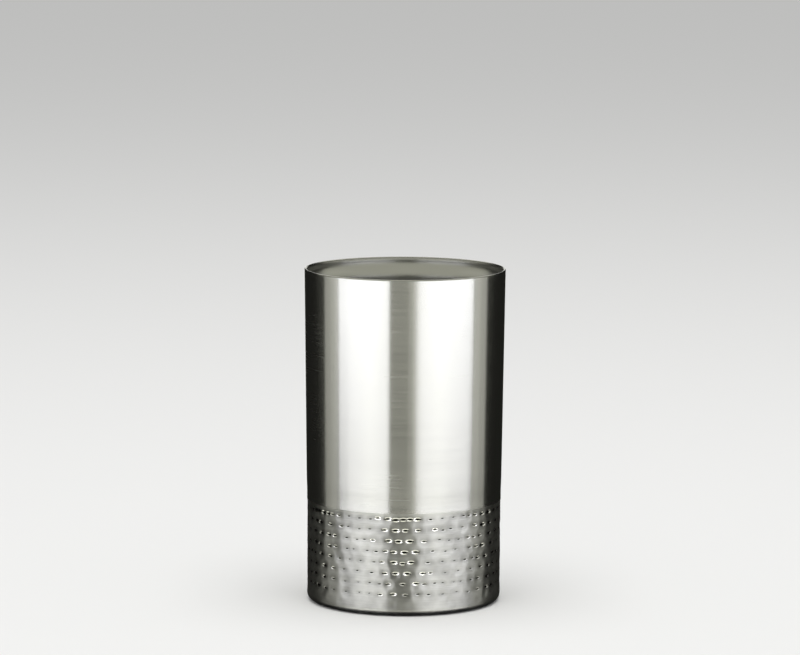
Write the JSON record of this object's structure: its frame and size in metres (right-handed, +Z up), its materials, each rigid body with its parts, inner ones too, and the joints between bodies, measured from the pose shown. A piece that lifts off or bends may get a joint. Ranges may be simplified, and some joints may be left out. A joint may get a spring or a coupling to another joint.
{
  "type": "champagne bucket",
  "caption": "Double-walled steel bucket for chilling a bottle, slightly tapered, brushed above and hammered in a band at the foot, with a thin round lip and a flat non-slip foot ring.",
  "frame": {"origin": "on the table under the middle of the bucket, at the underside of the foot ring", "axes": "+Z up along the bucket's axis to the mouth; X and Y are alike, and the bucket is viewed from -Y"},
  "size_m": [0.12, 0.12, 0.2],
  "materials": {
    "brushed_steel": "brushed round the wall, satin and hammered in the band at the foot",
    "satin_steel": "satin",
    "weld_steel": "polished",
    "foot_rubber": "matt",
    "insulation": "expanded foam"
  },
  "bodies": {
    "root": {"outer_shell": "brushed_steel", "inner_liner": "satin_steel", "lip_weld": "weld_steel", "base_plate": "satin_steel", "base_weld": "weld_steel", "foot_ring": "foot_rubber", "insulation_disc": "insulation", "vent_plug": "foot_rubber"}
  },
  "joints": []
}
